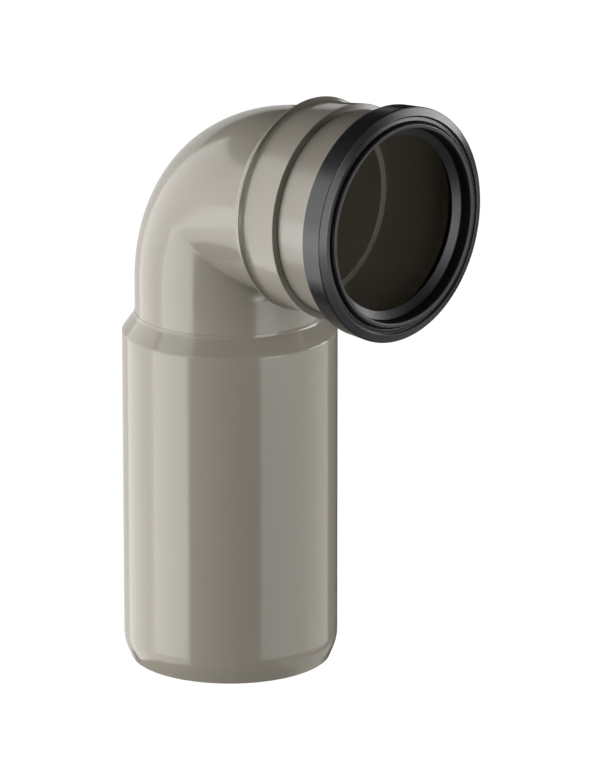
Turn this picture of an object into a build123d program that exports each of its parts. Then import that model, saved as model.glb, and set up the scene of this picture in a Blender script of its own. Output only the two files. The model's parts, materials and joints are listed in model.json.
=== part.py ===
from build123d import *

import os

# A push-fit elbow of grey polypropylene: a long plain spigot points down, a short-radius bend turns
# the duct through a right angle, and a socket with a black seal and retaining collar faces +X.
# Millimetres, +Z up. The origin is the centre of the spigot's lower end.

# Standard pipe sizes that the two ends are made for
SPIGOT_OD = 125.0
SPIGOT_WALL = 4.8
TUBE_OD = 110.0
TUBE_WALL = 3.4

# Layout of the two legs
SOCKET_AXIS_Z = 284.7
BEND_RADIUS = 56.2
SHOULDER_TOP_Z = 209.0
SHOULDER_HEIGHT = 11.5
LEG_SEAT_DEPTH = 13.0
PIPE_STOP_X = 71.5
COLLAR_BACK_X = 119.5
COLLAR_FRONT_X = 133.4

# The legs run straight on into the bend, a hair wider than its swept heel, and meet in a sharp throat
LEG_RUN_ON = 0.05

# Spigot end and neck
LEAD_IN_LENGTH = 10.0
LEAD_IN_DEPTH = 4.1
LEAD_IN_ROUNDING = 25.0
LEDGE_THICKNESS = 4.0
NECK_TAPER_LENGTH = 9.0
SHOULDER_FOOT_LENGTH = 1.8
SHOULDER_FOOT_STEP = 0.5
SHOULDER_LIP_STEP = 0.25

# Flared bell that is moulded on the end of the bend
RIB_RAMP_X = 57.6
RIB_CREST_X = 65.6
RIB_CREST_RADIUS = 62.3
RIB_FACE_LENGTH = 1.1
RIB_FACE_FOOT = 0.9
RIB_FOOT_X = 68.6
RIB_FOOT_RADIUS = 59.2
BELL_LIP_X = 91.4
BELL_LIP_RADIUS = 62.4
BELL_FACE_LENGTH = 2.2
BELL_TIP_THICKNESS = 0.5

# Push-fit sleeve that is welded into the bell
SLEEVE_WALL = 3.4
PIPE_CLEARANCE = 0.5
SLEEVE_BACK_X = 79.0
FLARE_START_X = 115.4
CHAMBER_START_X = 121.0
CHAMBER_RAMP_LENGTH = 1.5
SLEEVE_FRONT_X = 131.4
CHAMBER_RADIUS = 60.4
CHAMBER_WALL = 3.2

# Seal and collar
LOOSE_GAP = 0.3
COLLAR_BACK_RADIUS = 66.7
COLLAR_FRONT_RADIUS = 67.7
COLLAR_OPENING_RADIUS = 59.4
COLLAR_FACE_RISE = 1.5
COLLAR_STEP_RADIUS = 62.1
COLLAR_STEP_DEPTH = 0.8
COLLAR_STEP_SLOPE = 0.4
SEAL_FRONT_X = 136.2
SEAL_INNER_RADIUS = 55.6
LIP_GROOVE_COUNT = 2
LIP_GROOVE_PITCH = 4.2
LIP_GROOVE_WIDTH = 2.0
LIP_GROOVE_DEPTH = 1.2
LIP_GROOVE_START = 2.1

# Roundings, from a crisp moulded edge to a wide fillet
TIP_ROUNDING = 0.3
CRISP_ROUNDING = 0.4
EDGE_ROUNDING = 0.5
SOFT_ROUNDING = 0.8
BEAD_ROUNDING = 1.3
FLARE_ROUNDING = 1.5
WIDE_ROUNDING = 2.0
FILLET_ROUNDING = 3.0

# Worked-out radii and heights
SPIGOT_RADIUS = SPIGOT_OD / 2
SPIGOT_BORE = SPIGOT_RADIUS - SPIGOT_WALL
TUBE_RADIUS = TUBE_OD / 2
TUBE_BORE = TUBE_RADIUS - TUBE_WALL
SOCKET_BORE = TUBE_RADIUS + PIPE_CLEARANCE
SLEEVE_RADIUS = SOCKET_BORE + SLEEVE_WALL
BEND_START_Z = SOCKET_AXIS_Z - BEND_RADIUS
LEG_SEAT_Z = SHOULDER_TOP_Z - LEG_SEAT_DEPTH
CHAMBER_OUTER_RADIUS = CHAMBER_RADIUS + CHAMBER_WALL


def upright(along, radius):
    """A point of a section that turns about the spigot's axis."""
    return (radius, 0, along)


def level(along, radius):
    """A point of a section that turns about the socket's axis."""
    return (along, 0, SOCKET_AXIS_Z + radius)


def rounded_section(corners, place):
    """A closed flat section through corners, each (along the axis, radius, rounding)."""
    section = make_face(Polyline(*[place(along, radius) for along, radius, _ in corners], close=True))
    for along, radius, rounding in corners:
        if rounding > 0:
            corner = section.vertices().sort_by_distance(place(along, radius))[0]
            section = fillet(corner, rounding)
    return section


def turned_upright(corners):
    """A ring about the spigot's axis."""
    return revolve(rounded_section(corners, upright), Axis.Z, 360)


def turned_level(corners):
    """A ring about the socket's axis."""
    return revolve(rounded_section(corners, level), Axis((0, 0, SOCKET_AXIS_Z), (1, 0, 0)), 360)


def spigot_pipe():
    """The long plain spigot, with a lead-in at its end and a shoulder that grips the bend's leg."""
    ledge_z = LEG_SEAT_Z - LEDGE_THICKNESS
    return turned_upright([
        (0, SPIGOT_BORE, 0),
        (0, SPIGOT_RADIUS - LEAD_IN_DEPTH, TIP_ROUNDING),
        (LEAD_IN_LENGTH, SPIGOT_RADIUS, LEAD_IN_ROUNDING),
        (SHOULDER_TOP_Z - SHOULDER_HEIGHT, SPIGOT_RADIUS, WIDE_ROUNDING),
        (SHOULDER_TOP_Z - SHOULDER_FOOT_LENGTH, TUBE_RADIUS + SHOULDER_FOOT_STEP, FILLET_ROUNDING),
        (SHOULDER_TOP_Z, TUBE_RADIUS + SHOULDER_LIP_STEP, 0),
        (SHOULDER_TOP_Z, TUBE_RADIUS, 0),
        (LEG_SEAT_Z, TUBE_RADIUS, 0),
        (LEG_SEAT_Z, TUBE_BORE, 0),
        (ledge_z, TUBE_BORE, SOFT_ROUNDING),
        (ledge_z - NECK_TAPER_LENGTH, SPIGOT_BORE, WIDE_ROUNDING),
    ])


def corner_rod(radius):
    """A rod round the bend: swept at the heel, and two straight legs that meet in a crease at the throat."""
    throat = Axis((BEND_RADIUS, 0, BEND_START_Z), (0, 1, 0))
    swept_half = revolve(Pos(0, 0, BEND_START_Z) * Circle(radius), throat, 45)
    straight_leg = Pos(0, 0, BEND_START_Z) * Cylinder(radius + LEG_RUN_ON, 4 * radius)
    lower_half = swept_half & straight_leg
    crease_plane = Plane((BEND_RADIUS, 0, BEND_START_Z), x_dir=(0, 1, 0), z_dir=(1, 0, 1))
    return lower_half + mirror(lower_half, about=crease_plane)


def elbow_bend():
    """The short-radius bend with its sharp throat, and the flared bell at its upper end."""
    bell_face_x = BELL_LIP_X + BELL_FACE_LENGTH
    leg = turned_upright([
        (LEG_SEAT_Z, TUBE_BORE, 0),
        (LEG_SEAT_Z, TUBE_RADIUS, 0),
        (BEND_START_Z, TUBE_RADIUS, 0),
        (BEND_START_Z, TUBE_BORE, 0),
    ])
    corner = corner_rod(TUBE_RADIUS) - corner_rod(TUBE_BORE)
    bell = turned_level([
        (BEND_RADIUS, TUBE_BORE, 0),
        (BEND_RADIUS, TUBE_RADIUS, 0),
        (RIB_RAMP_X, TUBE_RADIUS, WIDE_ROUNDING),
        (RIB_CREST_X, RIB_CREST_RADIUS, SOFT_ROUNDING),
        (RIB_CREST_X + RIB_FACE_LENGTH, RIB_FOOT_RADIUS + RIB_FACE_FOOT, 0),
        (RIB_FOOT_X, RIB_FOOT_RADIUS, WIDE_ROUNDING),
        (BELL_LIP_X, BELL_LIP_RADIUS, EDGE_ROUNDING),
        (bell_face_x, SLEEVE_RADIUS + BELL_TIP_THICKNESS, 0),
        (bell_face_x, SLEEVE_RADIUS, 0),
        (SLEEVE_BACK_X, SLEEVE_RADIUS, 0),
        (SLEEVE_BACK_X, SOCKET_BORE, 0),
        (PIPE_STOP_X, SOCKET_BORE, 0),
        (PIPE_STOP_X, TUBE_BORE, CRISP_ROUNDING),
    ])
    return leg + corner + bell


def socket_sleeve():
    """The straight push-fit sleeve, widened at its mouth into the seal's chamber."""
    return turned_level([
        (SLEEVE_BACK_X, SOCKET_BORE, 0),
        (SLEEVE_BACK_X, SLEEVE_RADIUS, 0),
        (FLARE_START_X, SLEEVE_RADIUS, FLARE_ROUNDING),
        (COLLAR_BACK_X, CHAMBER_OUTER_RADIUS, SOFT_ROUNDING),
        (SLEEVE_FRONT_X, CHAMBER_OUTER_RADIUS, EDGE_ROUNDING),
        (SLEEVE_FRONT_X, CHAMBER_RADIUS, 0),
        (CHAMBER_START_X, CHAMBER_RADIUS, SOFT_ROUNDING),
        (CHAMBER_START_X - CHAMBER_RAMP_LENGTH, SOCKET_BORE, SOFT_ROUNDING),
    ])


def lip_seal():
    """The rubber seal in its chamber, with its lips folded back as a pipe holds them."""
    back_x = CHAMBER_START_X + LOOSE_GAP
    block_front_x = SLEEVE_FRONT_X - LOOSE_GAP / 2
    neck_radius = COLLAR_OPENING_RADIUS - LOOSE_GAP
    seal = turned_level([
        (back_x, SEAL_INNER_RADIUS, CRISP_ROUNDING),
        (back_x, CHAMBER_RADIUS - LOOSE_GAP, SOFT_ROUNDING),
        (block_front_x, CHAMBER_RADIUS - LOOSE_GAP, CRISP_ROUNDING),
        (block_front_x, neck_radius, 0),
        (SEAL_FRONT_X, neck_radius, BEAD_ROUNDING),
        (SEAL_FRONT_X, SEAL_INNER_RADIUS, BEAD_ROUNDING),
    ])
    for index in range(LIP_GROOVE_COUNT):
        groove_x = back_x + LIP_GROOVE_START + LIP_GROOVE_PITCH * index
        seal -= turned_level([
            (groove_x, SEAL_INNER_RADIUS - LIP_GROOVE_DEPTH, 0),
            (groove_x, SEAL_INNER_RADIUS, 0),
            (groove_x + LIP_GROOVE_WIDTH, SEAL_INNER_RADIUS + LIP_GROOVE_DEPTH, 0),
            (groove_x + LIP_GROOVE_WIDTH, SEAL_INNER_RADIUS - LIP_GROOVE_DEPTH, 0),
        ])
    return seal


def retaining_collar():
    """The hard black ring that caps the socket's mouth and keeps the seal in its chamber."""
    inner_radius = CHAMBER_OUTER_RADIUS + LOOSE_GAP
    web_back_x = SLEEVE_FRONT_X + LOOSE_GAP
    step_x = COLLAR_FRONT_X + COLLAR_FACE_RISE
    return turned_level([
        (COLLAR_BACK_X, inner_radius, CRISP_ROUNDING),
        (COLLAR_BACK_X, COLLAR_BACK_RADIUS, EDGE_ROUNDING),
        (COLLAR_FRONT_X, COLLAR_FRONT_RADIUS, EDGE_ROUNDING),
        (step_x, COLLAR_STEP_RADIUS, CRISP_ROUNDING),
        (step_x - COLLAR_STEP_DEPTH, COLLAR_STEP_RADIUS - COLLAR_STEP_SLOPE, 0),
        (step_x - COLLAR_STEP_DEPTH, COLLAR_OPENING_RADIUS, CRISP_ROUNDING),
        (web_back_x, COLLAR_OPENING_RADIUS, TIP_ROUNDING),
        (web_back_x, inner_radius, TIP_ROUNDING),
    ])


PIECES = {
    "spigot_pipe": spigot_pipe,
    "elbow_bend": elbow_bend,
    "socket_sleeve": socket_sleeve,
    "lip_seal": lip_seal,
    "retaining_collar": retaining_collar,
}

os.makedirs("parts", exist_ok=True)
for name, make in PIECES.items():
    export_step(make(), f"parts/{name}.step")
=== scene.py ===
"""Looks of the push-fit flue elbow: finishes, a detailed seal and collar, studio light, floor, camera."""
import json
import math

import bpy
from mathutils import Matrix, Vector


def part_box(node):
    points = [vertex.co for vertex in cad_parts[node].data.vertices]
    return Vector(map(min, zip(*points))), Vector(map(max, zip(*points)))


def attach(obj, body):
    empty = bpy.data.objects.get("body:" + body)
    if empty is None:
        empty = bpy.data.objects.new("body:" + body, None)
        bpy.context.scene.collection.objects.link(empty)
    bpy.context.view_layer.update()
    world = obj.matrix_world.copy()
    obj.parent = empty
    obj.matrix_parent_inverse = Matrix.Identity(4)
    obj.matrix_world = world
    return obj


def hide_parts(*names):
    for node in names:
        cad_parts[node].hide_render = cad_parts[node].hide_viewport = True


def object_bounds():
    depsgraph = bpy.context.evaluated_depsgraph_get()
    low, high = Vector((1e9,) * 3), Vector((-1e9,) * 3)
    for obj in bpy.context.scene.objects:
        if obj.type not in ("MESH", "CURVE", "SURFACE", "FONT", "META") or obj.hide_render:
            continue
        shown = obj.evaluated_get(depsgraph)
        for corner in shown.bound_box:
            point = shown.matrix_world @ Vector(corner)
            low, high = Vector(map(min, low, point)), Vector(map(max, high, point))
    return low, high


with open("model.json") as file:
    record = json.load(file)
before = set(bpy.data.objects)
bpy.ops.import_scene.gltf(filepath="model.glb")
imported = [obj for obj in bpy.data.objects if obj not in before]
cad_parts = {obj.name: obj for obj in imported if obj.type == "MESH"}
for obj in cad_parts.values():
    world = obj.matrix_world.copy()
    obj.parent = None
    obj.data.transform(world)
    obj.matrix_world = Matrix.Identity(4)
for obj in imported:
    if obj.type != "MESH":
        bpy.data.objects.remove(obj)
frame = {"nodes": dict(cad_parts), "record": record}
cad_low, cad_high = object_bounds()

MM = 0.001

# The camera stands at the photograph's angle, far off with a long lens, and sees to CLIP_END metres
CAMERA_AZIMUTH = math.radians(43.05)
CAMERA_ELEVATION = math.radians(16.96)
CAMERA_DISTANCE = 3.8386
CAMERA_LENS = 309.4
AIM_RIGHT = 0.0137
AIM_UP = -0.0066
CLIP_END = 50

# Linear colours of the moulded pieces
GREY = (0.325, 0.3, 0.25)
BLACK_PLASTIC = (0.014, 0.014, 0.016)
BLACK_RUBBER = (0.016, 0.016, 0.017)

# Fineness of the ringed pieces, and the small turn that their slopes are measured over
TURNS = 288
ARC_STEP = math.radians(10)
BEND_STEPS = 84
SMALL_TURN = 1e-4

# The bend's middle line and wall, its end's broken edge, and its step up to the sleeve
BEND_RADIUS = 56.2 * MM
TUBE_WALL = 3.4 * MM
END_EDGE = 0.1 * MM
SLEEVE_STEP = 3.9 * MM

# The throat's crease: its softness, how far the upper leg leans into it, and the ridge beside it
THROAT_SOFTNESS = math.radians(2)
UPPER_LEAN = 0.85
RIDGE_SOFTNESS = 1.2 * MM

# The upper leg sits a little low where it runs into the bell
ARM_SETTLE = 1.3 * MM
SETTLE_START = math.radians(40)
SETTLE_END = math.radians(75)

# Every finish: pattern sizes in mm, the stretch of a drawn line, and the noise's roughness and range
CLOUD_SIZE = 38
SPECK_SIZE = 1.6
LINE_STRETCH = 60
NOISE_ROUGHNESS = 0.55
NOISE_LOW = 0.3
NOISE_HIGH = 0.7

# The mix node's two colour inputs and its colour output
MIX_DARK = 6
MIX_LIGHT = 7
MIX_RESULT = 2

# The studio, in metres: the lights' distance, the floor's reach, and its gap below the part
LIGHT_DISTANCE = 2.5
FLOOR_REACH = 12
FLOOR_GAP = 0.2 * MM

# What the frame says: the CAD nodes, the socket's axis and the middle of the part
nodes = frame["nodes"]
mounts = {mount["name"]: mount for mount in frame["record"]["mounts"]}
socket_axis_z = mounts["socket"]["pos_m"][2]
bend_start_z = socket_axis_z - BEND_RADIUS
centre = (cad_low + cad_high) / 2


# ---------------------------------------------------------------- rings and outlines

def corner_arc(before, corner, after, rounding, flip):
    """The arc that rounds a corner of an outline: points, each with its outward normal."""
    to_before = (before - corner).normalized()
    to_after = (after - corner).normalized()
    half_angle = to_before.angle(to_after) / 2
    reach = rounding / math.tan(half_angle)
    hub = corner + (to_before + to_after).normalized() * (rounding / math.sin(half_angle))
    start = corner + to_before * reach - hub
    stop = corner + to_after * reach - hub
    turn = start.angle_signed(stop)
    steps = max(2, math.ceil(abs(turn) / ARC_STEP))
    convex = (to_before.x * to_after.y - to_before.y * to_after.x) * flip > 0
    points = []
    for step in range(steps + 1):
        angle = -turn * step / steps
        spoke = Vector((
            start.x * math.cos(angle) - start.y * math.sin(angle),
            start.x * math.sin(angle) + start.y * math.cos(angle),
        ))
        normal = spoke.normalized()
        points.append((hub + spoke, normal if convex else -normal))
    return points


def rounded_outline(corners):
    """A closed outline with its corners rounded. Each corner is (along, radius, rounding)."""
    places = [Vector((along, radius)) for along, radius, _ in corners]
    count = len(corners)
    area = sum(places[i - 1].x * places[i].y - places[i].x * places[i - 1].y for i in range(count))
    flip = -1 if area > 0 else 1
    outline = []
    for i, (_, _, rounding) in enumerate(corners):
        outline += corner_arc(places[i - 1], places[i], places[(i + 1) % count], rounding, flip)
    return outline


def turn_angles():
    """The places round a ring."""
    return [2 * math.pi * turn / TURNS for turn in range(TURNS)]


def socket_ring(along, radius, forward, outward):
    """A ring about the socket's axis: points, each with its normal."""
    return [
        (
            Vector((along, radius * math.sin(angle), socket_axis_z + radius * math.cos(angle))),
            Vector((forward, outward * math.sin(angle), outward * math.cos(angle))),
        )
        for angle in turn_angles()
    ]


def spigot_ring(height, radius, upward, outward):
    """A ring about the spigot's axis: points, each with its normal."""
    return [
        (
            Vector((-radius * math.cos(angle), radius * math.sin(angle), height)),
            Vector((-outward * math.cos(angle), outward * math.sin(angle), upward)),
        )
        for angle in turn_angles()
    ]


def ringed_piece(name, rings, body, node, material):
    """A closed skin through rings, the last joined to the first, that stands for a CAD node."""
    points = [point for ring in rings for point, _ in ring]
    normals = [normal.normalized() for ring in rings for _, normal in ring]
    faces = []
    for i in range(len(rings)):
        here = i * TURNS
        there = (i + 1) % len(rings) * TURNS
        for turn in range(TURNS):
            after = (turn + 1) % TURNS
            faces.append((here + turn, there + turn, there + after, here + after))
    mesh = bpy.data.meshes.new(name)
    mesh.from_pydata(points, [], faces)
    mesh.shade_smooth()
    mesh.normals_split_custom_set_from_vertices(normals)
    mesh.materials.append(material)
    piece = bpy.data.objects.new(name, mesh)
    bpy.context.scene.collection.objects.link(piece)
    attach(piece, body)
    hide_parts(node)


def turned_piece(name, corners, body, node, material):
    """A ring turned about the socket's axis that stands for a CAD node."""
    rings = [
        socket_ring(place.x, place.y, normal.x, normal.y)
        for place, normal in rounded_outline(corners)
    ]
    ringed_piece(name, rings, body, node, material)


def measured_from(node, corners):
    """Corners in mm forward of a ring's back and in from its rim, put where the CAD ring is."""
    low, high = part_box(node)
    return [
        (low.x + forward * MM, high.y - inward * MM, rounding * MM)
        for forward, inward, rounding in corners
    ]


# ---------------------------------------------------------------- the bend

def section_reach(bend_angle, angle, radius):
    """How far the bend's wall stands from its middle line, in a section through the throat.

    The heel is swept round the throat, but the two legs run straight on into it, so they meet in
    a crease that is deepest at the throat and dies away at the sides.
    """
    upper_lean = (math.pi / 2 - bend_angle) * UPPER_LEAN
    lean = (bend_angle + upper_lean - math.hypot(bend_angle - upper_lean, THROAT_SOFTNESS)) / 2
    tilt = math.cos(lean)
    shift = BEND_RADIUS * (1 - tilt)
    square = (tilt * math.cos(angle)) ** 2 + math.sin(angle) ** 2
    half = shift * tilt * math.cos(angle)
    straight = (half + math.sqrt(half ** 2 - square * (shift ** 2 - radius ** 2))) / square
    gap = straight - radius
    softness = RIDGE_SOFTNESS * math.sin(2 * bend_angle)
    return radius + (gap - math.hypot(gap, softness)) / 2


def bend_point(bend_angle, angle, radius):
    """A place on the bend: so far round the bend, and so far round its section."""
    reach = section_reach(bend_angle, angle, radius)
    settled = min(1, max(0, (bend_angle - SETTLE_START) / (SETTLE_END - SETTLE_START)))
    settle = ARM_SETTLE * settled ** 2 * (3 - 2 * settled)
    out = BEND_RADIUS - settle + reach * math.cos(angle)
    return Vector((
        BEND_RADIUS - out * math.cos(bend_angle),
        reach * math.sin(angle),
        bend_start_z + out * math.sin(bend_angle),
    ))


def bend_ring(bend_angle, radius, facing):
    """One section of the bend: points, each with its normal. Facing is 1 outside and -1 inside."""
    before = bend_angle - SMALL_TURN
    beyond = bend_angle + SMALL_TURN
    ring = []
    for angle in turn_angles():
        left = bend_point(bend_angle, angle - SMALL_TURN, radius)
        right = bend_point(bend_angle, angle + SMALL_TURN, radius)
        along = bend_point(beyond, angle, radius) - bend_point(before, angle, radius)
        around = right - left
        ring.append((bend_point(bend_angle, angle, radius), along.cross(around) * facing))
    return ring


def make_bend(material):
    """The bend with its flared bell: one moulding, hollow all the way.

    The bell's outline closes along the bend's end, and that side is dropped where the bend's own
    rings take its place.
    """
    low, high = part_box("elbow_bend")
    outer = -low.x
    inner = outer - TUBE_WALL
    step_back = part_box("socket_sleeve")[0].x
    sleeve_radius = outer + SLEEVE_STEP
    bell_face = high.x
    bell = rounded_outline([
        (BEND_RADIUS, inner, 0.05 * MM),
        (BEND_RADIUS, outer, 0.05 * MM),
        (bell_face - 35.4 * MM, outer + 0.6 * MM, 2.0 * MM),
        (bell_face - 28.0 * MM, outer + 7.3 * MM, 0.8 * MM),
        (bell_face - 26.9 * MM, outer + 5.1 * MM, 0.6 * MM),
        (bell_face - 25.0 * MM, outer + 4.2 * MM, 2.0 * MM),
        (bell_face - 1.2 * MM, outer + 7.4 * MM, 0.5 * MM),
        (bell_face, sleeve_radius + 0.5 * MM, 0.15 * MM),
        (bell_face, sleeve_radius, 0.1 * MM),
        (step_back, sleeve_radius, 0.1 * MM),
        (step_back, outer + 0.5 * MM, 0.1 * MM),
        (step_back - 7.5 * MM, outer + 0.5 * MM, 0.3 * MM),
        (step_back - 7.5 * MM, inner, 0.4 * MM),
    ])
    bell = [item for item in bell if item[0].x > BEND_RADIUS + 0.5 * MM]
    steps = [math.pi / 2 * step / BEND_STEPS for step in range(BEND_STEPS + 1)]
    rings = [
        spigot_ring(low.z, inner + END_EDGE, -1, 0),
        spigot_ring(low.z, outer - END_EDGE, -1, 0),
        spigot_ring(low.z + END_EDGE, outer, 0, 1),
    ]
    rings += [bend_ring(step, outer, 1) for step in steps]
    rings += [socket_ring(place.x, place.y, normal.x, normal.y) for place, normal in bell]
    rings += [bend_ring(step, inner, -1) for step in reversed(steps)]
    rings += [spigot_ring(low.z + END_EDGE, inner, 0, -1)]
    ringed_piece("elbow_bend_shell", rings, "elbow", "elbow_bend", material)


# ---------------------------------------------------------------- seal and collar

def make_collar(material):
    """The hard black ring: a tapered skirt, a bevelled face and a sunk inner step."""
    corners = measured_from("retaining_collar", [
        (0.0, 3.7, 0.4),
        (0.0, 0.95, 0.6),
        (13.4, 0.0, 0.6),
        (13.8, 0.9, 0.3),
        (15.3, 5.0, 0.35),
        (14.2, 5.8, 0.25),
        (14.7, 8.25, 0.5),
        (12.2, 8.25, 0.3),
        (12.2, 3.7, 0.3),
    ])
    name = "retaining_collar_ring"
    turned_piece(name, corners, "collar", "retaining_collar", material)


def make_seal(material):
    """The rubber seal as it sits with no pipe in it: a front bead, a long lip and a short wiper lip."""
    corners = measured_from("lip_seal", [
        (0.0, 3.9, 0.4),
        (0.0, 0.0, 0.6),
        (9.9, 0.0, 0.4),
        (9.9, 1.0, 0.15),
        (13.3, 1.2, 0.5),
        (14.9, 1.8, 1.0),
        (14.9, 4.2, 1.0),
        (13.2, 4.75, 0.8),
        (8.4, 4.8, 1.0),
        (5.4, 9.9, 0.4),
        (4.5, 9.5, 0.35),
        (6.7, 3.9, 0.7),
        (3.9, 3.9, 0.5),
        (1.8, 5.9, 0.3),
        (1.1, 5.5, 0.3),
    ])
    turned_piece("lip_seal_ring", corners, "seal", "lip_seal", material)


# ---------------------------------------------------------------- finishes

def add_node(tree, kind, inputs, **settings):
    """A shader node. Each input is a number, a colour or another node's output."""
    made = tree.nodes.new(kind)
    for name, value in settings.items():
        setattr(made, name, value)
    for name, value in inputs.items():
        if isinstance(value, bpy.types.NodeSocket):
            tree.links.new(value, made.inputs[name])
        else:
            made.inputs[name].default_value = value
    return made


def math_node(tree, operation, first, second):
    """Arithmetic on two patterns, or on a pattern and a number."""
    made = add_node(tree, "ShaderNodeMath", {0: first, 1: second}, operation=operation)
    return made.outputs[0]


def averaged(tree, first, second):
    """Half of each of two patterns."""
    halves = [math_node(tree, "MULTIPLY", pattern, 0.5) for pattern in (first, second)]
    return math_node(tree, "ADD", *halves)


def noise(tree, place, size, detail):
    """A cloudy pattern from 0 to 1, whose blotches are about size across, in mm."""
    inputs = {
        "Vector": place,
        "Scale": 1 / (size * MM),
        "Detail": detail,
        "Roughness": NOISE_ROUGHNESS,
    }
    return add_node(tree, "ShaderNodeTexNoise", inputs).outputs["Fac"]


def drawn_lines(tree, place, size):
    """Fine lines along Z, as a drawn pipe has."""
    squeezed = add_node(tree, "ShaderNodeMapping", {"Vector": place, "Scale": (1, 1, 1 / LINE_STRETCH)})
    return noise(tree, squeezed.outputs[0], size, 3.0)


def turned_lines(tree, place, size):
    """Fine rings about the socket's axis, as a turned mould leaves."""
    parts = add_node(tree, "ShaderNodeSeparateXYZ", {0: place})
    height = math_node(tree, "SUBTRACT", parts.outputs[2], socket_axis_z)
    flat = add_node(tree, "ShaderNodeCombineXYZ", {0: parts.outputs[1], 1: height})
    radius = add_node(tree, "ShaderNodeVectorMath", {0: flat.outputs[0]}, operation="LENGTH")
    ring = add_node(tree, "ShaderNodeCombineXYZ", {0: parts.outputs[0], 1: radius.outputs["Value"]})
    return noise(tree, ring.outputs[0], size, 3.0)


def between(tree, pattern, low, high):
    """The pattern's usual range spread from low to high."""
    inputs = {
        "Value": pattern,
        "From Min": NOISE_LOW,
        "From Max": NOISE_HIGH,
        "To Min": low,
        "To Max": high,
    }
    return add_node(tree, "ShaderNodeMapRange", inputs).outputs["Result"]


def moulded(name, colour, mottle, roughness, grain, lines=None):
    """Moulded plastic or rubber: blotchy pigment, uneven gloss, and a fine grain with tool lines.

    Mottle is the colour's variation, roughness a (low, high) pair, and grain its (size, depth) in mm.
    Lines is (pattern, size, depth), where the pattern is drawn_lines or turned_lines.
    """
    material = bpy.data.materials.new(name)
    material.use_nodes = True
    tree = material.node_tree
    bsdf = tree.nodes["Principled BSDF"]
    place = add_node(tree, "ShaderNodeTexCoord", {}).outputs["Object"]
    clouds = noise(tree, place, CLOUD_SIZE, 4.0)
    specks = noise(tree, place, SPECK_SIZE, 3.0)
    grain_size, grain_depth = grain
    pores = noise(tree, place, grain_size, 2.0)
    shades = add_node(tree, "ShaderNodeMix", {
        "Factor": between(tree, averaged(tree, clouds, specks), 0, 1),
        MIX_DARK: (*(part * (1 - mottle) for part in colour), 1),
        MIX_LIGHT: (*(part * (1 + mottle) for part in colour), 1),
    }, data_type="RGBA")
    tree.links.new(shades.outputs[MIX_RESULT], bsdf.inputs["Base Color"])
    gloss = clouds
    height = math_node(tree, "MULTIPLY", pores, grain_depth * MM)
    if lines:
        pattern, line_size, line_depth = lines
        streaks = pattern(tree, place, line_size)
        gloss = averaged(tree, clouds, streaks)
        height = math_node(tree, "ADD", height, math_node(tree, "MULTIPLY", streaks, line_depth * MM))
    tree.links.new(between(tree, gloss, *roughness), bsdf.inputs["Roughness"])
    bump = add_node(tree, "ShaderNodeBump", {"Height": height, "Distance": 1.0, "Strength": 1.0})
    tree.links.new(bump.outputs["Normal"], bsdf.inputs["Normal"])
    return material


# ---------------------------------------------------------------- studio

def toward(azimuth, elevation=0.0):
    """The direction at these degrees, as the object sees it: 0 is the camera's side, 90 its right."""
    turn = CAMERA_AZIMUTH + math.radians(azimuth)
    rise = math.radians(elevation)
    return Vector((
        math.sin(turn) * math.cos(rise),
        -math.cos(turn) * math.cos(rise),
        math.sin(rise),
    ))


def make_camera():
    """A long lens, far off, aimed a little beside the middle of the part."""
    back = toward(0, math.degrees(CAMERA_ELEVATION))
    right = toward(90)
    up = back.cross(right)
    data = bpy.data.cameras.new("camera")
    data.lens = CAMERA_LENS
    data.clip_end = CLIP_END
    camera = bpy.data.objects.new("camera", data)
    bpy.context.scene.collection.objects.link(camera)
    camera.location = centre + right * AIM_RIGHT + up * AIM_UP + back * CAMERA_DISTANCE
    camera.rotation_euler = back.to_track_quat("Z", "Y").to_euler()
    bpy.context.scene.camera = camera


def soft_box(name, azimuths, elevations, radiance):
    """An upright studio light that fills a range of directions, in degrees, as the object sees it."""
    middle = sum(azimuths) / 2
    half_spread = math.radians(azimuths[1] - azimuths[0]) / 2
    low, high = (LIGHT_DISTANCE * math.tan(math.radians(elevation)) for elevation in elevations)
    data = bpy.data.lights.new(name, "AREA")
    data.shape = "RECTANGLE"
    data.size = 2 * LIGHT_DISTANCE * math.tan(half_spread)
    data.size_y = high - low
    data.energy = radiance * data.size * data.size_y * math.pi
    light = bpy.data.objects.new(name, data)
    bpy.context.scene.collection.objects.link(light)
    direction = toward(middle)
    light.location = centre + direction * LIGHT_DISTANCE + Vector((0, 0, (low + high) / 2))
    light.rotation_euler = direction.to_track_quat("Z", "Y").to_euler()
    light.visible_camera = False


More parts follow.
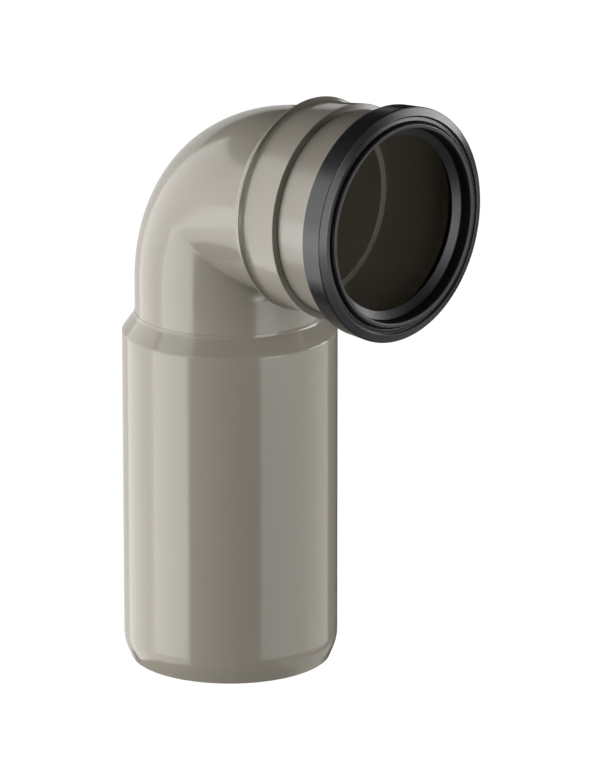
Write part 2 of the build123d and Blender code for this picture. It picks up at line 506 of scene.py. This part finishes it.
def make_floor():
    """A pale floor that runs up into far walls. It isn't reflected, and it casts no light or shadow."""
    reach = FLOOR_REACH
    mesh = bpy.data.meshes.new("floor")
    corners = [(-reach, -reach), (reach, -reach), (reach, reach), (-reach, reach)]
    points = [(x, y, z) for z in (0, reach) for x, y in corners]
    walls = [(i, i + 4, (i + 1) % 4 + 4, (i + 1) % 4) for i in range(4)]
    mesh.from_pydata(points, [], [(0, 1, 2, 3)] + walls)
    obj = bpy.data.objects.new("floor", mesh)
    bpy.context.scene.collection.objects.link(obj)
    obj.location.z = cad_low.z - FLOOR_GAP
    material = bpy.data.materials.new("floor")
    material.use_nodes = True
    bsdf = material.node_tree.nodes["Principled BSDF"]
    bsdf.inputs["Base Color"].default_value = (0.12, 0.12, 0.12, 1)
    bsdf.inputs["Roughness"].default_value = 1
    bsdf.inputs["Specular IOR Level"].default_value = 0
    bsdf.inputs["Emission Color"].default_value = (1, 1, 1, 1)
    bsdf.inputs["Emission Strength"].default_value = 1
    mesh.materials.append(material)
    obj.visible_glossy = False
    obj.visible_diffuse = False
    obj.visible_shadow = False


def make_lights():
    """The soft boxes. Azimuths and elevations are in degrees, as toward reads them."""
    soft_box("left_key", (-96, -46), (-38, 50), 2.5)
    soft_box("left_low", (-90, -44), (-24, -2), 2.0)
    soft_box("left_back", (-140, -96), (-38, 34), 2.0)
    soft_box("left_rim", (-180, -140), (-30, 20), 0.75)
    soft_box("front_right", (30, 59), (-14, 18), 4.2)
    soft_box("front_low", (33, 75), (-26, -9), 1.6)
    soft_box("right_high", (88, 124), (1, 17), 6.5)
    soft_box("right_low", (75, 130), (-26, -8), 1.25)
    soft_box("right_floor", (56, 150), (-50, -32), 0.5)


# ---------------------------------------------------------------- the whole scene

make_camera()
make_floor()
drawn = (drawn_lines, 1.8, 0.003)
turned = (turned_lines, 0.7, 0.002)
turned_finely = (turned_lines, 0.5, 0.003)
smooth_grey = moulded("smooth_grey", GREY, 0.02, (0.11, 0.16), (2.6, 0.006), drawn)
matte_grey = moulded("matte_grey", GREY, 0.035, (0.12, 0.18), (1.4, 0.004))
sleeve_grey = moulded("sleeve_grey", GREY, 0.045, (0.16, 0.24), (0.9, 0.006), turned)
black_plastic = moulded("black_plastic", BLACK_PLASTIC, 0.12, (0.2, 0.3), (0.8, 0.004), turned_finely)
seal_rubber = moulded("seal_rubber", BLACK_RUBBER, 0.18, (0.28, 0.4), (0.5, 0.006))
make_collar(black_plastic)
make_seal(seal_rubber)
make_bend(matte_grey)
finishes = {
    "spigot_pipe": smooth_grey,
    "elbow_bend": matte_grey,
    "socket_sleeve": sleeve_grey,
    "lip_seal": seal_rubber,
    "retaining_collar": black_plastic,
}
for name, material in finishes.items():
    nodes[name].data.materials.clear()
    nodes[name].data.materials.append(material)
make_lights()

bpy.context.scene.view_settings.view_transform = "Standard"
